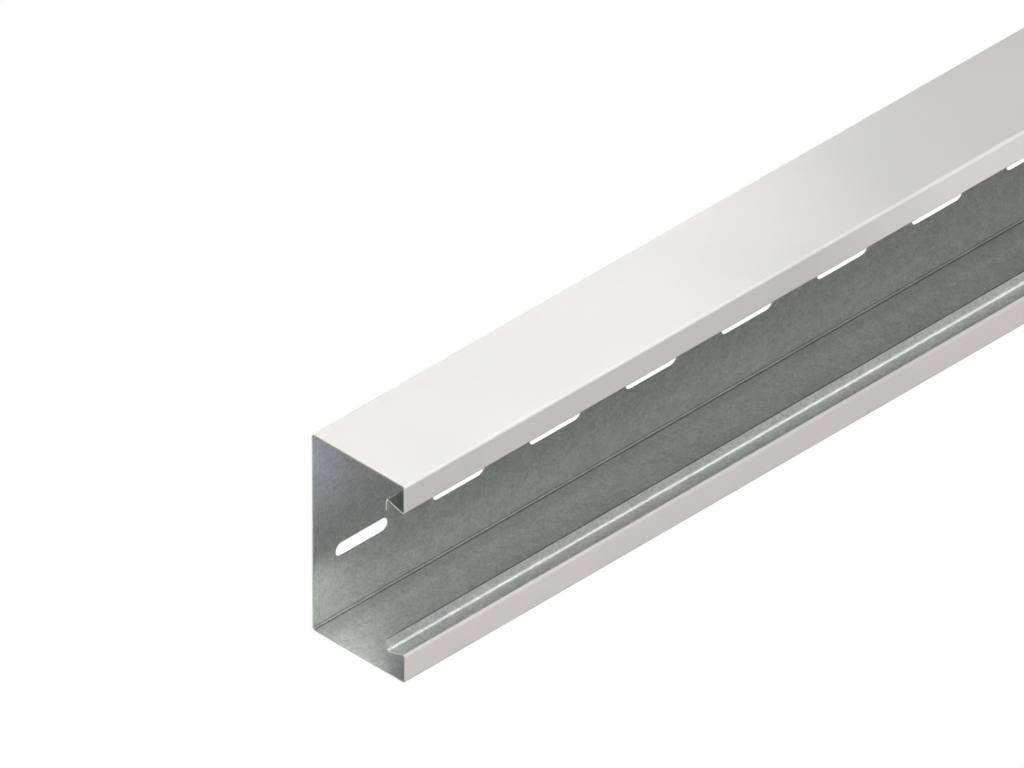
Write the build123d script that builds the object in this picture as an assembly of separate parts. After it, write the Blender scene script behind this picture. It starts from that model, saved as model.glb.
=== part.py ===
from build123d import *
from math import floor, radians, tan
import os

# One length of steel cable trunking, roll-formed from a single strip of sheet.
# The section is a deep C, open at the front. A turned-in lip with a snap leg for the
# cover runs along each edge of the opening, and a row of fixing slots runs along the
# back wall. It stands on its lower flange. X is the length, Y runs from the open front
# to the back wall, and Z is up. Sizes are in millimetres.

# Overall
LENGTH = 2000.0
HEIGHT = 130.0
DEPTH = 71.2
SHEET = 0.8

# Bends, measured on the inside of each bend
CORNER_RADIUS = 1.1
LEG_RADIUS = 1.0

# Front edge: the flange beside the opening, and the lip behind it
FRONT_FLANGE = 18.5     # outside of the long flange to the rolled edge of the opening
LIP_ANGLE = 17.0        # slope of the lip, from the opening back into the channel
LIP_DEPTH = 14.5        # front face to the back of the snap leg
LEG_END = 22.5          # outside of the long flange to the free end of the snap leg

# Fixing slots in the back wall
SLOT_LENGTH = 40.0
SLOT_WIDTH = 9.0
SLOT_PITCH = 74.07
SLOT_HEIGHT = 43.2      # outside of the lower flange to the middle of the slots

# Values that follow from the ones above
CORNER_MIDDLE = CORNER_RADIUS + SHEET / 2
LEG_MIDDLE = LEG_RADIUS + SHEET / 2
SLOT_COUNT = floor(LENGTH / SLOT_PITCH)


def edge_points():
    """Corners of the sheet's middle line in the upper half, from the snap leg to the
    back wall, as places across the depth and down from the outside of the top."""
    fold = (90 - LIP_ANGLE) / 2
    edge = FRONT_FLANGE - CORNER_RADIUS - SHEET + CORNER_MIDDLE / tan(radians(fold))
    leg = edge - (LIP_DEPTH - SHEET) * tan(radians(LIP_ANGLE))
    front, back = SHEET / 2, DEPTH - SHEET / 2
    snap = LIP_DEPTH - SHEET / 2
    return [(snap, LEG_END), (snap, leg), (front, edge), (front, SHEET / 2), (back, SHEET / 2)]


def section():
    """The C section as a face across the length, with its lower half mirrored from the
    upper one about the middle of the height."""
    upper = [(y - DEPTH / 2, HEIGHT - down) for y, down in edge_points()]
    lower = [(y, HEIGHT - z) for y, z in reversed(upper)]
    bends = [LEG_MIDDLE] + [CORNER_MIDDLE] * 6 + [LEG_MIDDLE]
    middle_line = FilletPolyline(*upper, *lower, radius=bends)
    return Plane.YZ * trace(middle_line, line_width=SHEET)


def fixing_slots():
    """Round-ended cutters through the back wall, evenly spaced about the middle of the
    length."""
    wall = Plane.XZ.offset(SHEET / 2 - DEPTH / 2)
    places = GridLocations(SLOT_PITCH, 0, SLOT_COUNT, 1)
    outline = Pos(0, SLOT_HEIGHT) * SlotOverall(SLOT_LENGTH, SLOT_WIDTH)
    cutter = extrude(outline, amount=SHEET, both=True)
    return [wall * place * cutter for place in places]


def trunking_base():
    """The whole length of trunking: the section drawn out both ways from the middle,
    less its slots."""
    return extrude(section(), amount=LENGTH / 2, both=True) - fixing_slots()


os.makedirs("parts", exist_ok=True)
base = trunking_base()
print("slots", SLOT_COUNT, "end distance", (LENGTH - (SLOT_COUNT - 1) * SLOT_PITCH) / 2)
export_step(base, "parts/trunking_base.step")
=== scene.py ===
import math

import bpy
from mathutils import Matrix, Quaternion, Vector


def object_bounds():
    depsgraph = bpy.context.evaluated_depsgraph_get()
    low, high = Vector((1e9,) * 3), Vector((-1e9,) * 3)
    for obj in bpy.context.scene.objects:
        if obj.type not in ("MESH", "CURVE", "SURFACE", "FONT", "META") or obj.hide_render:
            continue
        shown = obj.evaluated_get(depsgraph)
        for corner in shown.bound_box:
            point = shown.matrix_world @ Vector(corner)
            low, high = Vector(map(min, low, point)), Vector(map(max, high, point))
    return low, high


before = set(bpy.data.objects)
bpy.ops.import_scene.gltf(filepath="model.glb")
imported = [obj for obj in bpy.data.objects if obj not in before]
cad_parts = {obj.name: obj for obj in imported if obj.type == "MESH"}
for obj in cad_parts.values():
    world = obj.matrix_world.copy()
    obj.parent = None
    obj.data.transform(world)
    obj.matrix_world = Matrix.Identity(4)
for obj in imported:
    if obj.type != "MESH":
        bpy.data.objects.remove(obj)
cadLow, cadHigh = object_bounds()
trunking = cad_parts["trunking_base"]
print("frame loaded:", trunking.name)

# lengths are metres, in the frame of the CAD
length = cadHigh.x - cadLow.x
depth = cadHigh.y - cadLow.y
height = cadHigh.z - cadLow.z
middle = (cadLow + cadHigh) / 2


# small helpers for laying out nodes
def addNode(tree, kind, x, y, **settings):
    node = tree.nodes.new(kind)
    node.location = (x, y)
    for name, value in settings.items():
        setattr(node, name, value)
    return node


def feed(tree, node, **inputs):
    # an input is named, or numbered as n0, n1; a number or tuple sets it, a socket is linked to it
    for name, value in inputs.items():
        byNumber = name[0] == "n" and name[1:].isdigit()
        socket = node.inputs[int(name[1:]) if byNumber else name]
        if isinstance(value, bpy.types.NodeSocket):
            tree.links.new(value, socket)
        else:
            socket.default_value = value
    return node.outputs[0]


def mathNode(tree, operation, x, y, *values, clamp=False):
    node = addNode(tree, "ShaderNodeMath", x, y, operation=operation, use_clamp=clamp)
    return feed(tree, node, **{f"n{i}": v for i, v in enumerate(values)})


def ramp(tree, x, y, value, low, high, outLow=0.0, outHigh=1.0):
    node = addNode(tree, "ShaderNodeMapRange", x, y, interpolation_type="SMOOTHSTEP")
    feed(tree, node, n0=value, n1=low, n2=high, n3=outLow, n4=outHigh)
    return node.outputs[0]


def mixColor(tree, x, y, factor, first, second, blend="MIX"):
    node = addNode(tree, "ShaderNodeMix", x, y, data_type="RGBA", blend_type=blend)
    feed(tree, node, n0=factor, n6=first, n7=second)
    return node.outputs[2]


def mixValue(tree, x, y, factor, first, second):
    node = addNode(tree, "ShaderNodeMix", x, y, data_type="FLOAT")
    feed(tree, node, n0=factor, n2=first, n3=second)
    return node.outputs[0]


def distanceFrom(tree, x, y, across, up, centreAcross, centreUp):
    # measured in the plane of the section
    offAcross = mathNode(tree, "SUBTRACT", x, y + 80, across, centreAcross)
    offUp = mathNode(tree, "SUBTRACT", x, y - 80, up, centreUp)
    squareAcross = mathNode(tree, "MULTIPLY", x + 180, y + 80, offAcross, offAcross)
    squareUp = mathNode(tree, "MULTIPLY", x + 180, y - 80, offUp, offUp)
    total = mathNode(tree, "ADD", x + 360, y, squareAcross, squareUp)
    return mathNode(tree, "SQRT", x + 540, y, total)


# where on the rolled strip a point lies
strip = {
    "cornerRadius": 0.0019,     # outside of the bends
    "sheet": 0.0008,
    "frontFlange": 0.0185,      # height of a front flange
    "legEnd": 0.0225,           # how far in the free end of the snap leg comes
    "legBend": (0.0127, 0.01633),       # middle of the leg's bend, from the front and the flange
    "legBendReach": (0.00104, 0.001),   # from there out to the inside of the bend
    "lipDepth": 0.0146,         # how far back the lip and its leg reach
    "lipInside": 0.0120,        # outside of the flange to the lowest inside of the lip
    "paintWrap": 0.0013,        # how far behind the front face the paint ends
    "rimShadeReach": 0.0012,         # over how much of the rolled edge the paint gets painted shade as the edge turns in
    "backOverspray": 0.004,     # how far round the back the paint fades out
    "rootBand": (-0.00015, 0.0006),     # painted shade: dark band in the root of an inner bend
    "startBand": (-0.0005, 0.0002),     # painted shade: thin dark line where the wall runs into the bend
    "bandSoftness": 0.0004,
    "besideBend": (-0.014, -0.002),     # painted shade: where a flange gets darker towards its bend
    "onCut": 0.0001,            # how near to a cut still counts as on it
    "endFacing": 0.9,           # a sawn end faces at least this much along the length
    "slotFacing": 0.3,          # the side of a slot faces at most this much through the wall
    "wallSheets": 1.1,          # how deep the back wall is taken, in sheets
    "slotShare": 0.25,          # the slots lie within this share of the height from its middle
}


def stripPlacesGroup():
    part = strip
    group = bpy.data.node_groups.new("stripPlaces", "ShaderNodeTree")
    masks = ("Painted", "Rim Shade", "Sawn End", "Sheared Edge", "Bend Root", "Bend Start",
             "Beside Bend", "Lip And Leg", "Leg Bend")
    for name in masks:
        group.interface.new_socket(name, in_out="OUTPUT", socket_type="NodeSocketFloat")
    out = addNode(group, "NodeGroupOutput", 1500, 0)
    place = addNode(group, "ShaderNodeTexCoord", -1400, 0).outputs["Object"]
    centred = addNode(group, "ShaderNodeVectorMath", -1200, 0, operation="SUBTRACT")
    feed(group, centred, n0=place, n1=tuple(middle))
    folded = addNode(group, "ShaderNodeVectorMath", -1020, 0, operation="ABSOLUTE")
    feed(group, folded, n0=centred.outputs[0])
    plain = addNode(group, "ShaderNodeSeparateXYZ", -1020, -220)
    feed(group, plain, n0=centred.outputs[0])
    half = addNode(group, "ShaderNodeSeparateXYZ", -840, 160)
    feed(group, half, n0=folded.outputs[0])

    # distance outwards from the middle of the bends, all round the section; taking off the
    # whole length leaves the length itself out of it
    radius = part["cornerRadius"]
    corner = addNode(group, "ShaderNodeVectorMath", -840, -40, operation="SUBTRACT")
    feed(group, corner, n0=folded.outputs[0], n1=(length, depth / 2 - radius, height / 2 - radius))
    beyond = addNode(group, "ShaderNodeVectorMath", -660, -40, operation="MAXIMUM")
    feed(group, beyond, n0=corner.outputs[0], n1=(0.0, 0.0, 0.0))
    reach = addNode(group, "ShaderNodeVectorMath", -480, -40, operation="LENGTH")
    feed(group, reach, n0=beyond.outputs[0])
    sides = addNode(group, "ShaderNodeSeparateXYZ", -660, -240)
    feed(group, sides, n0=corner.outputs[0])
    nearest = mathNode(group, "MAXIMUM", -480, -240, sides.outputs[1], sides.outputs[2])
    inside = mathNode(group, "MINIMUM", -300, -240, nearest, 0.0)
    skin = mathNode(group, "ADD", -120, -140, reach.outputs["Value"], inside)
    outer = mathNode(group, "GREATER_THAN", 60, -140, skin, radius - part["sheet"] / 2)

    # the rolled edge of the opening, where the paint goes on round the bend
    frontY = mathNode(group, "ADD", -660, 360, plain.outputs[1], depth / 2)
    edgeZ = height / 2 - part["frontFlange"] + radius
    fromEdge = distanceFrom(group, -480, 340, frontY, half.outputs[2], radius, edgeZ)
    edgeOuter = mathNode(group, "GREATER_THAN", 240, 340, fromEdge, radius - part["sheet"] / 2)
    wrapped = mathNode(group, "LESS_THAN", 240, 500, frontY, part["paintWrap"])
    edgeCoat = mathNode(group, "MULTIPLY", 420, 420, edgeOuter, wrapped)
    atOpening = mathNode(group, "LESS_THAN", 240, 140, half.outputs[2], edgeZ)
    # painted shade on the paint as the rolled edge turns in
    rimShadeMask = ramp(group, 240, 240, half.outputs[2], edgeZ, edgeZ - part["rimShadeReach"])

    # the back is bare but for a little overspray past its bends
    fadeEnd = height / 2 - part["backOverspray"]
    overspray = ramp(group, 240, -340, half.outputs[2], fadeEnd, height / 2 - radius)
    backSkin = depth / 2 - part["sheet"] / 2
    atBack = mathNode(group, "GREATER_THAN", 240, -520, plain.outputs[1], backSkin)
    backCoat = mixValue(group, 420, -340, atBack, 1.0, overspray)
    closed = mathNode(group, "MULTIPLY", 600, -140, outer, backCoat)
    coated = mixValue(group, 800, 100, atOpening, closed, edgeCoat)

    # sawn ends, punched slots and the slit edges of the strip show the steel itself
    facing = addNode(group, "ShaderNodeTexCoord", 240, -760).outputs["Normal"]
    turned = addNode(group, "ShaderNodeSeparateXYZ", 420, -760)
    feed(group, turned, n0=facing)
    sideways = mathNode(group, "ABSOLUTE", 600, -700, turned.outputs[0])
    atEnd = mathNode(group, "GREATER_THAN", 780, -700, sideways, part["endFacing"])
    nearEnd = mathNode(group, "GREATER_THAN", 780, -560, half.outputs[0], length / 2 - part["onCut"])
    sawn = mathNode(group, "MULTIPLY", 960, -640, atEnd, nearEnd)
    towardsY = mathNode(group, "ABSOLUTE", 600, -880, turned.outputs[1])
    edgewise = mathNode(group, "LESS_THAN", 780, -880, towardsY, part["slotFacing"])
    wallInside = depth / 2 - part["sheet"] * part["wallSheets"]
    inWall = mathNode(group, "GREATER_THAN", 600, -1040, plain.outputs[1], wallInside)
    slotReach = height * part["slotShare"]
    amongSlots = mathNode(group, "LESS_THAN", 600, -1200, half.outputs[2], slotReach)
    punched = mathNode(group, "MULTIPLY", 960, -960, edgewise, inWall)
    punched = mathNode(group, "MULTIPLY", 1140, -1040, punched, amongSlots)
    inFront = mathNode(group, "LESS_THAN", 600, -1360, plain.outputs[1], 0.0)
    tipZ = height / 2 - part["legEnd"] + part["onCut"]
    legTip = mathNode(group, "LESS_THAN", 600, -1520, half.outputs[2], tipZ)
    slit = mathNode(group, "MULTIPLY", 960, -1360, inFront, legTip)
    sheared = mathNode(group, "MAXIMUM", 1260, -1100, punched, slit)
    notSawn = mathNode(group, "SUBTRACT", 1140, -800, 1.0, sawn)
    sheared = mathNode(group, "MULTIPLY", 1380, -900, sheared, notSawn)

    # painted shade inside a bend: a dark band in its root and a thin dark line where it starts
    soft = part["bandSoftness"]
    bandNodes = []
    for row, (name, along, across) in enumerate((("rootBand", 1, 2), ("startBand", 2, 1))):
        low, high = part[name]
        y = -620 - 300 * row
        rise = ramp(group, -120, y, sides.outputs[along], low - soft, low)
        fall = ramp(group, -120, y - 140, sides.outputs[along], high + soft, high)
        held = mathNode(group, "GREATER_THAN", -120, y - 280, sides.outputs[across], part["sheet"] / 2)
        band = mathNode(group, "MULTIPLY", 60, y - 60, rise, fall)
        bandNodes.append(mathNode(group, "MULTIPLY", 220, y - 140, band, held))

    # painted shade: the flanges are darker before their bends at the back
    closer = ramp(group, -120, -1300, sides.outputs[1], *part["besideBend"])
    onFlange = mathNode(group, "GREATER_THAN", -120, -1460, sides.outputs[2], part["sheet"] / 2)
    beside = mathNode(group, "MULTIPLY", 60, -1360, closer, onFlange)
    beforeBend = mathNode(group, "LESS_THAN", 60, -1520, sides.outputs[1], 0.0)
    beside = mathNode(group, "MULTIPLY", 240, -1400, beside, beforeBend)

    # the lip and its leg, which get painted light
    isLip = mathNode(group, "LESS_THAN", 60, 700, frontY, part["lipDepth"])
    lipZ = height / 2 - part["lipInside"]
    belowFlange = mathNode(group, "LESS_THAN", 60, 860, half.outputs[2], lipZ)
    lipAndLeg = mathNode(group, "MULTIPLY", 240, 780, isLip, belowFlange)
    # painted highlight in the middle of the leg's bend
    bendAcross, bendIn = part["legBend"]
    bendZ = height / 2 - bendIn
    fromBend = distanceFrom(group, -480, 1060, frontY, half.outputs[2], bendAcross, bendZ)
    legBend = ramp(group, 240, 1060, fromBend, *part["legBendReach"])

    results = (coated, rimShadeMask, sawn, sheared, *bandNodes, beside, lipAndLeg, legBend)
    for name, result in zip(masks, results):
        group.links.new(result, out.inputs[name])
    return group


def noise(tree, x, y, place, size, detail=3.0, roughness=0.5, stretch=(1.0, 1.0, 1.0),
          turn=(0.0, 0.0, 0.0)):
    mapping = addNode(tree, "ShaderNodeMapping", x - 200, y, vector_type="TEXTURE")
    feed(tree, mapping, Vector=place, Scale=stretch, Rotation=turn)
    node = addNode(tree, "ShaderNodeTexNoise", x, y)
    feed(tree, node, Vector=mapping.outputs[0], Scale=1 / size, Detail=detail, Roughness=roughness)
    return node.outputs[0]


# hot-dip zinc with a fine spangle, as it comes off the coil
zincSkin = {
    "cool": (0.480, 0.506, 0.490, 1.0),
    "warm": (0.493, 0.511, 0.488, 1.0),
    "patchSize": 0.045,
    "cloudSize": 0.009,
    "spangleSize": 0.0042,
    "grainSize": 0.0016,
    "grainStretch": (1.6, 1.0, 1.0),
    "grainTurn": (0.0, math.radians(35.3), math.radians(45.0)),     # lies aslant to the walls
    "grainRoughness": 0.6,
    "grainHeight": 0.6,         # against the roll marks, in the bump
    "grainRange": (0.3, 0.7),   # of the noise, from the smoothest to the roughest
    "patchRange": (0.35, 0.65),     # of the noise, from cool to warm
    "rollSize": 0.0016,
    "rollStretch": (25.0, 1.0, 1.0),
    "cloudContrast": 0.08,
    "spangleContrast": 0.14,
    "grainContrast": 0.90,
    "rollContrast": 0.03,
    "roughness": (0.40, 0.52),
    "metallic": 0.7,            # the rest is the dull bloom on the zinc
}


def zincSkinGroup():
    look = zincSkin
    group = bpy.data.node_groups.new("zincSkin", "ShaderNodeTree")
    group.interface.new_socket("Color", in_out="OUTPUT", socket_type="NodeSocketColor")
    for name in ("Roughness", "Height"):
        group.interface.new_socket(name, in_out="OUTPUT", socket_type="NodeSocketFloat")
    out = addNode(group, "NodeGroupOutput", 1300, 0)
    place = addNode(group, "ShaderNodeTexCoord", -1200, 0).outputs["Object"]

    patch = noise(group, -700, 400, place, look["patchSize"], detail=2.0)
    warmth = ramp(group, -300, 400, patch, *look["patchRange"])
    base = mixColor(group, 300, 400, warmth, look["cool"], look["warm"])
    cloud = noise(group, -700, 100, place, look["cloudSize"], detail=4.0)
    grain = noise(group, -700, -200, place, look["grainSize"], detail=3.0, stretch=look["grainStretch"],
                  turn=look["grainTurn"], roughness=look["grainRoughness"])
    rolled = noise(group, -700, -500, place, look["rollSize"], detail=2.0, stretch=look["rollStretch"])

    # spangle: crystals a few millimetres wide, each a little lighter or darker, with ragged edges
    ragged = addNode(group, "ShaderNodeVectorMath", -500, -760, operation="MULTIPLY_ADD")
    feed(group, ragged, n0=grain, n1=(look["grainSize"],) * 3, n2=place)
    crystal = addNode(group, "ShaderNodeTexVoronoi", -300, -760)
    feed(group, crystal, Vector=ragged.outputs[0], Scale=1 / look["spangleSize"])
    spangle = addNode(group, "ShaderNodeSeparateColor", -100, -760)
    feed(group, spangle, Color=crystal.outputs["Color"])

    layers = (("cloud", cloud), ("grain", grain), ("roll", rolled), ("spangle", spangle.outputs[0]))
    tone = 1.0 - sum(look[name + "Contrast"] for name, _ in layers) / 2
    for step, (name, layer) in enumerate(layers):
        contrast = look[name + "Contrast"]
        x, y = -100 + 180 * step, 100 - 80 * step
        tone = mathNode(group, "MULTIPLY_ADD", x, y, layer, contrast, tone)
    shade = addNode(group, "ShaderNodeVectorMath", 700, 300, operation="SCALE")
    feed(group, shade, Vector=base, Scale=tone)
    group.links.new(shade.outputs[0], out.inputs["Color"])
    rough = ramp(group, 700, -100, grain, *look["grainRange"], *look["roughness"])
    group.links.new(rough, out.inputs["Roughness"])
    relief = mathNode(group, "MULTIPLY_ADD", 700, -400, grain, look["grainHeight"], rolled)
    group.links.new(relief, out.inputs["Height"])
    return group


# off-white powder coat, satin, with a fine orange peel
paintSkin = {
    "color": (0.806, 0.786, 0.754, 1.0),
    "thin": (0.772, 0.766, 0.742, 1.0),     # where the coat came out a little thinner
    "patchSize": 0.07,
    "patchRange": (0.40, 0.65),     # of the noise, from the full coat to the thin one
    "peelSize": 0.0014,
    "peelRange": (0.3, 0.7),
    "roughness": (0.52, 0.58),
    "rimShadeTint": (0.83, 0.82, 0.82, 1.0),    # painted shade where the paint turns in over the rolled edge
}


def paintSkinGroup():
    look = paintSkin
    group = bpy.data.node_groups.new("paintSkin", "ShaderNodeTree")
    group.interface.new_socket("Color", in_out="OUTPUT", socket_type="NodeSocketColor")
    for name in ("Roughness", "Height"):
        group.interface.new_socket(name, in_out="OUTPUT", socket_type="NodeSocketFloat")
    out = addNode(group, "NodeGroupOutput", 700, 0)
    place = addNode(group, "ShaderNodeTexCoord", -1200, 0).outputs["Object"]
    patch = noise(group, -700, 300, place, look["patchSize"], detail=3.0)
    thinness = ramp(group, -300, 300, patch, *look["patchRange"])
    color = mixColor(group, 300, 300, thinness, look["color"], look["thin"])
    peel = noise(group, -700, -100, place, look["peelSize"], detail=1.0)
    group.links.new(color, out.inputs["Color"])
    rough = ramp(group, 300, -100, peel, *look["peelRange"], *look["roughness"])
    group.links.new(rough, out.inputs["Roughness"])
    group.links.new(peel, out.inputs["Height"])
    return group


# bare steel, sawn across at the ends, and darker where it was punched or slit
bareSteel = {
    "sawn": (0.22, 0.22, 0.216, 1.0),
    "sawnRoughness": 0.60,
    "sawnMetallic": 0.15,       # the fine tooth marks scatter the light
    "sheared": (0.24, 0.24, 0.23, 1.0),
    "shearedRoughness": 0.55,
}

# painted shade in and beside the bends, painted light on the lip and a painted highlight in the leg's
# bend, with the roughness there
paintedLightAndRoughness = {
    "rootShade": 0.40,          # painted shade: what is left of its brightness in the root of a bend
    "startShade": 0.70,         # painted shade: the same in the line where a bend starts
    "besideShade": 0.80,        # painted shade on the flange beside it
    "lipPaintedLight": (1.125, 1.115, 1.125, 1.0),      # painted light: the lip and its leg lighter than the rest
    "lipRoughness": 0.40,
    "legBendPaintedHighlight": (1.20, 1.20, 1.20, 1.0),     # painted highlight in the middle of the leg's bend
    "legBendRoughness": 0.37,
}

# the bump that both skins feed
surface = {
    "bump": 0.3,
    "bumpDepth": 0.00005,
}


def stripMaterial():
    material = bpy.data.materials.new("coatedStrip")
    material.use_nodes = True
    tree = material.node_tree
    tree.nodes.clear()
    output = addNode(tree, "ShaderNodeOutputMaterial", 1900, 0)
    shader = addNode(tree, "ShaderNodeBsdfPrincipled", 1600, 0)
    tree.links.new(shader.outputs[0], output.inputs["Surface"])
    outputs = []
    for row, build in enumerate((stripPlacesGroup, zincSkinGroup, paintSkinGroup)):
        node = addNode(tree, "ShaderNodeGroup", -400, 400 - 300 * row)
        node.node_tree = build()
        outputs.append(node.outputs)
    places, zinc, paint = outputs
    unchanged = (1.0, 1.0, 1.0, 1.0)

    # zinc with painted shade in the bends, painted light on the lips and a painted highlight in the leg's
    # bend, then steel where the strip was cut
    paintedShade = mixValue(tree, -100, 560, places["Bend Root"], 1.0, paintedLightAndRoughness["rootShade"])
    startLineShade = mixValue(tree, -100, 400, places["Bend Start"], 1.0, paintedLightAndRoughness["startShade"])
    paintedShade = mathNode(tree, "MULTIPLY", 80, 500, paintedShade, startLineShade)
    flangeShade = mixValue(tree, -100, 240, places["Beside Bend"], 1.0, paintedLightAndRoughness["besideShade"])
    paintedShade = mathNode(tree, "MULTIPLY", 160, 640, paintedShade, flangeShade)
    shadedZinc = addNode(tree, "ShaderNodeVectorMath", 240, 400, operation="SCALE")
    feed(tree, shadedZinc, Vector=zinc["Color"], Scale=paintedShade)
    # painted light on the lip and its leg
    litZinc = mixColor(tree, 400, 400, places["Lip And Leg"], unchanged, paintedLightAndRoughness["lipPaintedLight"])
    litZinc = mixColor(tree, 560, 460, 1.0, shadedZinc.outputs[0], litZinc, blend="MULTIPLY")
    # painted highlight in the leg's bend
    bendHighlight = mixColor(tree, 560, 640, places["Leg Bend"], unchanged, paintedLightAndRoughness["legBendPaintedHighlight"])
    litZinc = mixColor(tree, 720, 560, 1.0, litZinc, bendHighlight, blend="MULTIPLY")
    bare = mixColor(tree, 560, 300, places["Sawn End"], litZinc, bareSteel["sawn"])
    bare = mixColor(tree, 740, 300, places["Sheared Edge"], bare, bareSteel["sheared"])
    lipRough = paintedLightAndRoughness["lipRoughness"]
    rough = mixValue(tree, 400, 60, places["Lip And Leg"], zinc["Roughness"], lipRough)
    rough = mixValue(tree, 480, -80, places["Leg Bend"], rough, paintedLightAndRoughness["legBendRoughness"])
    rough = mixValue(tree, 560, 60, places["Sawn End"], rough, bareSteel["sawnRoughness"])
    rough = mixValue(tree, 740, 60, places["Sheared Edge"], rough, bareSteel["shearedRoughness"])

    # paint over all but the cut steel
    uncut = mathNode(tree, "SUBTRACT", 640, 520, places["Painted"], places["Sawn End"], clamp=True)
    coat = mathNode(tree, "SUBTRACT", 820, 520, uncut, places["Sheared Edge"], clamp=True)
    # painted shade on the paint over the rolled edge
    shadedRim = mixColor(tree, 740, 700, places["Rim Shade"], unchanged, paintSkin["rimShadeTint"])
    painted = mixColor(tree, 920, 600, 1.0, paint["Color"], shadedRim, blend="MULTIPLY")
    sawnMetal = bareSteel["sawnMetallic"]
    metal = mixValue(tree, 920, 160, places["Sawn End"], zincSkin["metallic"], sawnMetal)
    relief = mixValue(tree, 1100, -300, coat, zinc["Height"], paint["Height"])
    bump = addNode(tree, "ShaderNodeBump", 1300, -300)
    feed(tree, bump, Strength=surface["bump"], Distance=surface["bumpDepth"], Height=relief)
    tree.links.new(mixColor(tree, 1100, 300, coat, bare, painted), shader.inputs["Base Color"])
    tree.links.new(mixValue(tree, 1100, 100, coat, metal, 0.0), shader.inputs["Metallic"])
    tree.links.new(mixValue(tree, 1100, -80, coat, rough, paint["Roughness"]), shader.inputs["Roughness"])
    tree.links.new(bump.outputs[0], shader.inputs["Normal"])
    return material


trunking.data.materials[0] = stripMaterial()
print("finish made: paint outside, zinc inside")


# white table that the length stands on
floor = {
    "width": 60.0,
    "albedo": 0.3,
    "seen": 1.0,                # how white it is straight to the camera
}


def whiteToCamera(tree, lit, output, strength):
    # what the camera sees directly is plain white, and light still meets the real surface
    path = addNode(tree, "ShaderNodeLightPath", -200, 300)
    white = addNode(tree, "ShaderNodeEmission", -200, -100)
    feed(tree, white, Color=(1.0, 1.0, 1.0, 1.0), Strength=strength)
    choose = addNode(tree, "ShaderNodeMixShader", 60, 0)
    tree.links.new(path.outputs["Is Camera Ray"], choose.inputs[0])
    tree.links.new(lit, choose.inputs[1])
    tree.links.new(white.outputs[0], choose.inputs[2])
    tree.links.new(choose.outputs[0], output.inputs["Surface"])


def buildFloor():
    bpy.ops.object.select_all(action="DESELECT")
    bpy.ops.mesh.primitive_plane_add(size=floor["width"], location=(0.0, 0.0, 0.0))
    table = bpy.context.object
    table.name = "floor"
    material = bpy.data.materials.new("whiteTable")
    material.use_nodes = True
    tree = material.node_tree
    tree.nodes.clear()
    output = addNode(tree, "ShaderNodeOutputMaterial", 300, 0)
    diffuse = addNode(tree, "ShaderNodeBsdfDiffuse", -200, 100)
    feed(tree, diffuse, Color=(floor["albedo"],) * 3 + (1.0,))
    whiteToCamera(tree, diffuse.outputs[0], output, floor["seen"])
    table.data.materials.append(material)


buildFloor()
print("floor made")


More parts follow.
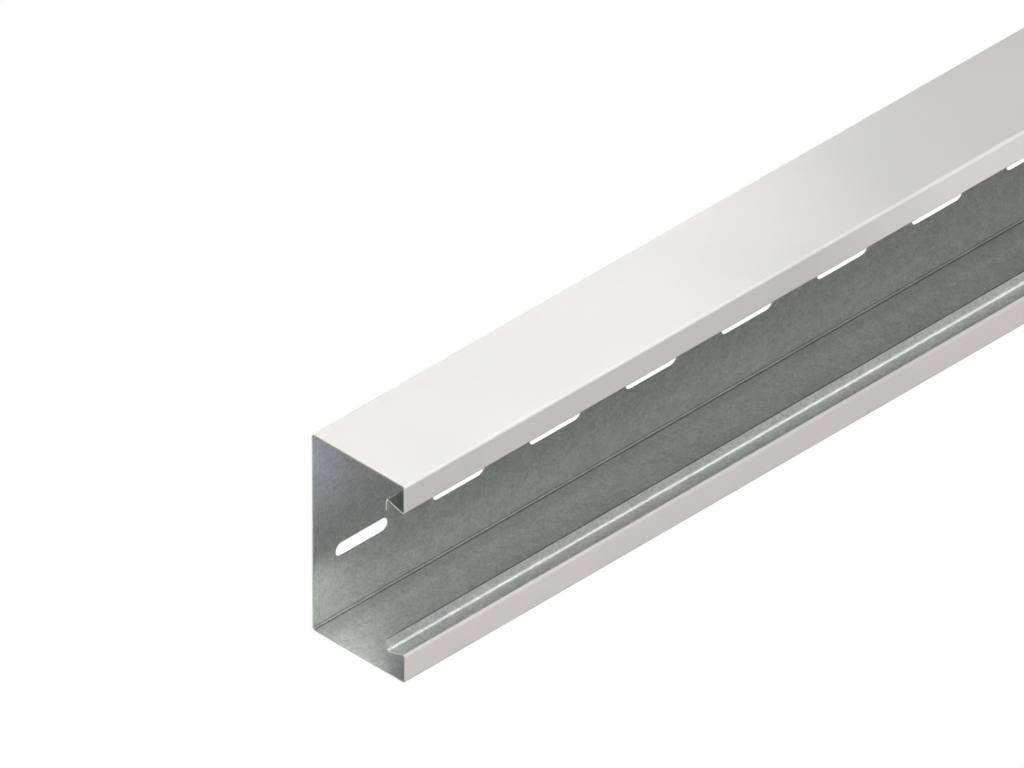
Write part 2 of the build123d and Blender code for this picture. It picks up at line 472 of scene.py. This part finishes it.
# plain soft studio light: large lamps around the length and small ones inside its left end
studio = {
    "world": 0.0,               # light from all around
    "worldSeen": 1.0,           # how white it is straight to the camera
    "tints": {                  # lamps that are not plain white
        "flangeLow": (1.0, 0.83, 0.87),
        "insideTop": (0.78, 0.80, 1.0),
    },
    "lights": [
        # name, place, aimed at, width and depth, spread and roll in degrees, watts
        ("endGlow", (-1.2, -0.05, 0.26), (-0.98, 0.02, 0.0), (0.16, 0.16), 180, 0, 0.1169),
        ("flangeStrip", (-0.03, -0.65, 0.26), (-0.03, 0.0, 0.26), (1.2, 0.4), 12, 0, 0.2277),
        ("topGrid", (-0.972, 0.318, 0.95), (-0.972, 0.318, 0.0), (0.9, 0.9), 20, 45, 1.074),
        ("behindTop", (-0.25, 0.75, 0.95), (-0.85, 0.0, 0.1), (0.6, 0.6), 180, 0, 1.164),
        ("frontSoftbox", (-0.6, -1.4, 1.5), (-0.6, 0.0, 0.06), (1.0, 0.8), 180, 0, 23.36),
        ("steepRight", (0.6, -0.6, 1.7), (-0.4, 0.0, 0.06), (1.0, 0.7), 180, 0, 11.01),
        ("fillRight", (1.2, -1.8, 0.6), (-0.4, 0.0, 0.06), (1.0, 0.8), 180, 0, 6.685),
        ("backFill", (-0.3, 2.4, 0.5), (-0.3, 0.0, 0.06), (2.8, 0.7), 180, 0, 24.63),
        ("rightFill", (2.7, 0.1, 0.5), (1.0, 0.0, 0.06), (0.9, 0.6), 180, 0, 1.696),
        ("rightTop", (0.4, 0.0, 1.6), (0.4, 0.0, 0.0), (1.2, 0.5), 20, 0, 0.25),
        ("leftAxis", (-2.0, 0.0, 0.065), (-1.0, 0.0, 0.065), (0.06, 0.1), 180, 0, 18.85),
        ("flangeLow", (-0.5, -0.1, 0.01), (-0.5, 0.0, 0.01), (1.1, 0.018), 180, 0, 0.036),
        ("insideTop", (-0.994, -0.004, 0.102), (-0.99, 0.035, 0.1), (0.012, 0.012), 180, 0, 0.0071),
        ("insideFlange", (-0.992, -0.01, 0.119), (-0.992, -0.035, 0.119), (0.012, 0.012), 180, 0, 0.0004),
        ("insideLow", (-0.993, 0.004, 0.04), (-0.99, 0.01, 0.0), (0.012, 0.024), 180, 0, 0.0079),
        ("insideCorner", (-0.994, 0.012, 0.032), (-0.992, 0.035, -0.002), (0.012, 0.016), 180, 0, 0.00235),
    ],
}


def lightStudio():
    world = bpy.data.worlds.new("studio")
    bpy.context.scene.world = world
    world.use_nodes = True
    tree = world.node_tree
    tree.nodes.clear()
    output = addNode(tree, "ShaderNodeOutputWorld", 300, 0)
    around = addNode(tree, "ShaderNodeBackground", -200, 100)
    feed(tree, around, Color=(1.0, 1.0, 1.0, 1.0), Strength=studio["world"])
    whiteToCamera(tree, around.outputs[0], output, studio["worldSeen"])
    for name, place, target, size, spread, roll, watts in studio["lights"]:
        bpy.ops.object.light_add(type="AREA", location=place)
        lamp = bpy.context.object
        lamp.name = name
        lamp.data.shape = "RECTANGLE"
        lamp.data.size, lamp.data.size_y = size
        lamp.data.spread = math.radians(spread)
        lamp.data.energy = watts
        lamp.data.color = studio["tints"].get(name, (1.0, 1.0, 1.0))
        lamp.visible_camera = False
        aimed = (Vector(target) - Vector(place)).to_track_quat("-Z", "Y")
        lamp.rotation_euler = (aimed @ Quaternion((0.0, 0.0, 1.0), math.radians(roll))).to_euler()


lightStudio()
print("lights made")


# the photograph is a parallel view, so the lens is very long
viewpoint = {
    "azimuth": -44.94,
    "elevation": 35.08,
    "lens": 1280.0,
    "sensor": 36.0,
    "distance": 19.802,
    "clipStart": 1.0,
    "aim": (-0.8196, 0.0634, 0.0592),
}


def placeCamera():
    view = viewpoint
    turn, tilt = math.radians(view["azimuth"]), math.radians(view["elevation"])
    back = Vector((math.sin(turn) * math.cos(tilt), -math.cos(turn) * math.cos(tilt), math.sin(tilt)))
    bpy.ops.object.camera_add(location=Vector(view["aim"]) + back * view["distance"])
    camera = bpy.context.object
    camera.name = "photoCamera"
    camera.rotation_euler = back.to_track_quat("Z", "Y").to_euler()
    camera.data.sensor_width = view["sensor"]
    camera.data.lens = view["lens"]
    camera.data.clip_start = view["clipStart"]
    camera.data.clip_end = 2 * view["distance"]
    bpy.context.scene.camera = camera


placeCamera()
bpy.context.scene.view_settings.view_transform = "Standard"
print("camera placed")
